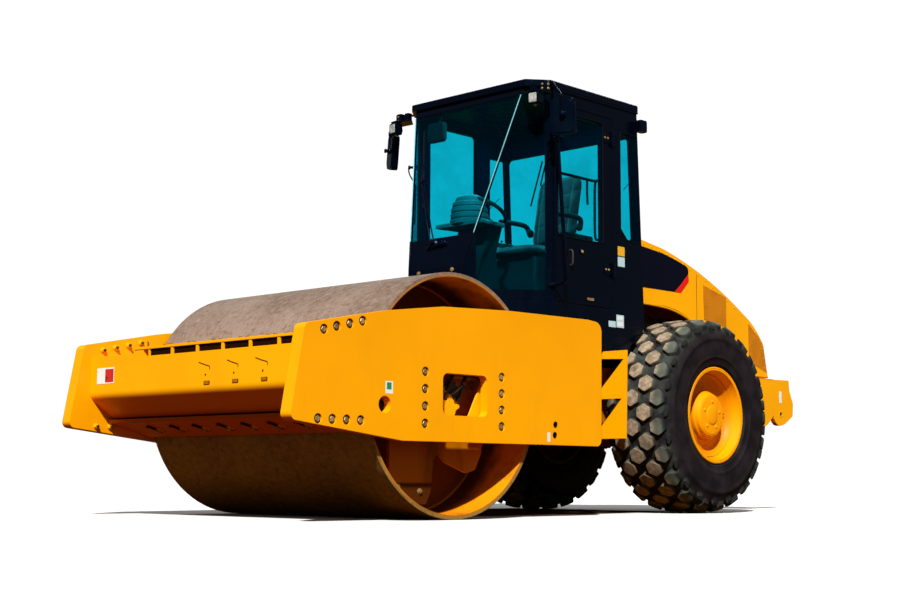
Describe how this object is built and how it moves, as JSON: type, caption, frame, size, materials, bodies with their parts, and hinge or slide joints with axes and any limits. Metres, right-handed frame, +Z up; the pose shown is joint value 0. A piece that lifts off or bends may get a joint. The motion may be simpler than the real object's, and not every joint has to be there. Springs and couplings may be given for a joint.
{
  "type": "single drum road roller",
  "caption": "Articulated road roller with one smooth drum in a front frame, two rubber-tyred rear wheels, an enclosed cab and a sloping engine hood.",
  "frame": {"origin": "on the ground, under the middle of the machine's outline", "axes": "+X to the machine's left, +Y to its rear (engine end), +Z up; the drum is at -Y"},
  "size_m": [2.3, 6.114, 3.12],
  "materials": {
    "body_yellow": "semi-gloss yellow paint, dusty, worn at edges",
    "cab_black": "satin black paint",
    "cab_glass": "tinted safety glass",
    "tyre_rubber": "worn rubber with dusty lug tops",
    "rim_yellow": "yellow paint",
    "drum_steel": "worn steel with soil stains",
    "seat_fabric": "dark woven cloth",
    "interior_plastic": "grained dark plastic",
    "engine_iron": "dull grey casting",
    "rod_chrome": "polished",
    "cylinder_black": "satin black paint",
    "scraper_steel": "worn plate"
  },
  "bodies": {
    "rear_frame": {"rear_chassis": "body_yellow", "cab_pedestal": "cab_black", "rear_axle": "body_yellow", "engine_block": "engine_iron", "rear_bumper": "body_yellow", "cab_platform": "cab_black", "step_left": "body_yellow", "step_right": "body_yellow", "hood_bulkhead": "cab_black", "cab_floor": "cab_black", "cab_front_frame": "cab_black", "cab_side_left": "cab_black", "cab_side_right": "cab_black", "cab_rear_wall": "cab_black", "cab_roof": "cab_black", "corner_windows": "cab_glass", "windshield": "cab_glass", "side_windows": "cab_glass", "rear_window": "cab_glass", "seat_base": "interior_plastic", "seat_cushion": "seat_fabric", "seat_backrest": "seat_fabric", "steering_console": "interior_plastic", "steering_wheel": "interior_plastic", "mirrors": "cab_black", "work_lights": "cab_black", "grab_rail": "cab_black"},
    "front_frame": {"side_plate_left": "body_yellow", "side_plate_right": "body_yellow", "front_bumper": "body_yellow", "rear_crossmember": "body_yellow", "drum_mount_left": "body_yellow", "drum_mount_right": "body_yellow", "rear_scraper": "scraper_steel"},
    "drum": {"drum_shell": "drum_steel", "drum_heads": "body_yellow", "vibration_unit": "engine_iron"},
    "wheel_left": {"tyre_left": "tyre_rubber", "rim_left": "rim_yellow"},
    "wheel_right": {"tyre_right": "tyre_rubber", "rim_right": "rim_yellow"},
    "door": {"door_panel": "cab_black", "door_window": "cab_glass"},
    "hood": {"hood_shell": "body_yellow"},
    "barrel_left": {"cylinder_barrel_left": "cylinder_black"},
    "barrel_right": {"cylinder_barrel_right": "cylinder_black"},
    "rod_left": {"cylinder_rod_left": "rod_chrome"},
    "rod_right": {"cylinder_rod_right": "rod_chrome"}
  },
  "joints": [
    {"name": "articulation", "type": "hinge", "parent": "rear_frame", "child": "front_frame", "pos_m": [0, -0.18, 0.74], "axis": [0, 0, 1], "range_deg": [-34, 34]},
    {"name": "drum_spin", "type": "hinge", "parent": "front_frame", "child": "drum", "pos_m": [0, -1.66, 0.767], "axis": [1, 0, 0], "continuous": true},
    {"name": "wheel_left_spin", "type": "hinge", "parent": "rear_frame", "child": "wheel_left", "pos_m": [0.775, 1.275, 0.742], "axis": [1, 0, 0], "continuous": true},
    {"name": "wheel_right_spin", "type": "hinge", "parent": "rear_frame", "child": "wheel_right", "pos_m": [-0.775, 1.275, 0.742], "axis": [1, 0, 0], "continuous": true},
    {"name": "door_hinge", "type": "hinge", "parent": "rear_frame", "child": "door", "pos_m": [0.704, 0.44, 2.2], "axis": [0, 0, 1], "range_deg": [0, 95]},
    {"name": "hood_hinge", "type": "hinge", "parent": "rear_frame", "child": "hood", "pos_m": [0, 0.885, 2.03], "axis": [1, 0, 0], "range_deg": [0, 50]},
    {"name": "barrel_left_swing", "type": "hinge", "parent": "rear_frame", "child": "barrel_left", "pos_m": [0.19, 0.44, 0.74], "axis": [0, 0, 1], "range_deg": [-3, 3]},
    {"name": "barrel_right_swing", "type": "hinge", "parent": "rear_frame", "child": "barrel_right", "pos_m": [-0.19, 0.44, 0.74], "axis": [0, 0, 1], "range_deg": [-3, 3]},
    {"name": "rod_left_slide", "type": "slide", "parent": "barrel_left", "child": "rod_left", "axis": [0.0367, -0.9993, 0], "range_m": [-0.121, 0.121]},
    {"name": "rod_right_slide", "type": "slide", "parent": "barrel_right", "child": "rod_right", "axis": [-0.0367, -0.9993, 0], "range_m": [-0.121, 0.121]}
  ],
  "couplings": [
    {"joint": "barrel_left_swing", "follows": "articulation", "ratio": 0.0817},
    {"joint": "barrel_right_swing", "follows": "articulation", "ratio": 0.0817},
    {"joint": "rod_left_slide", "follows": "articulation", "m_per_rad": -0.2033},
    {"joint": "rod_right_slide", "follows": "articulation", "m_per_rad": 0.2033}
  ]
}
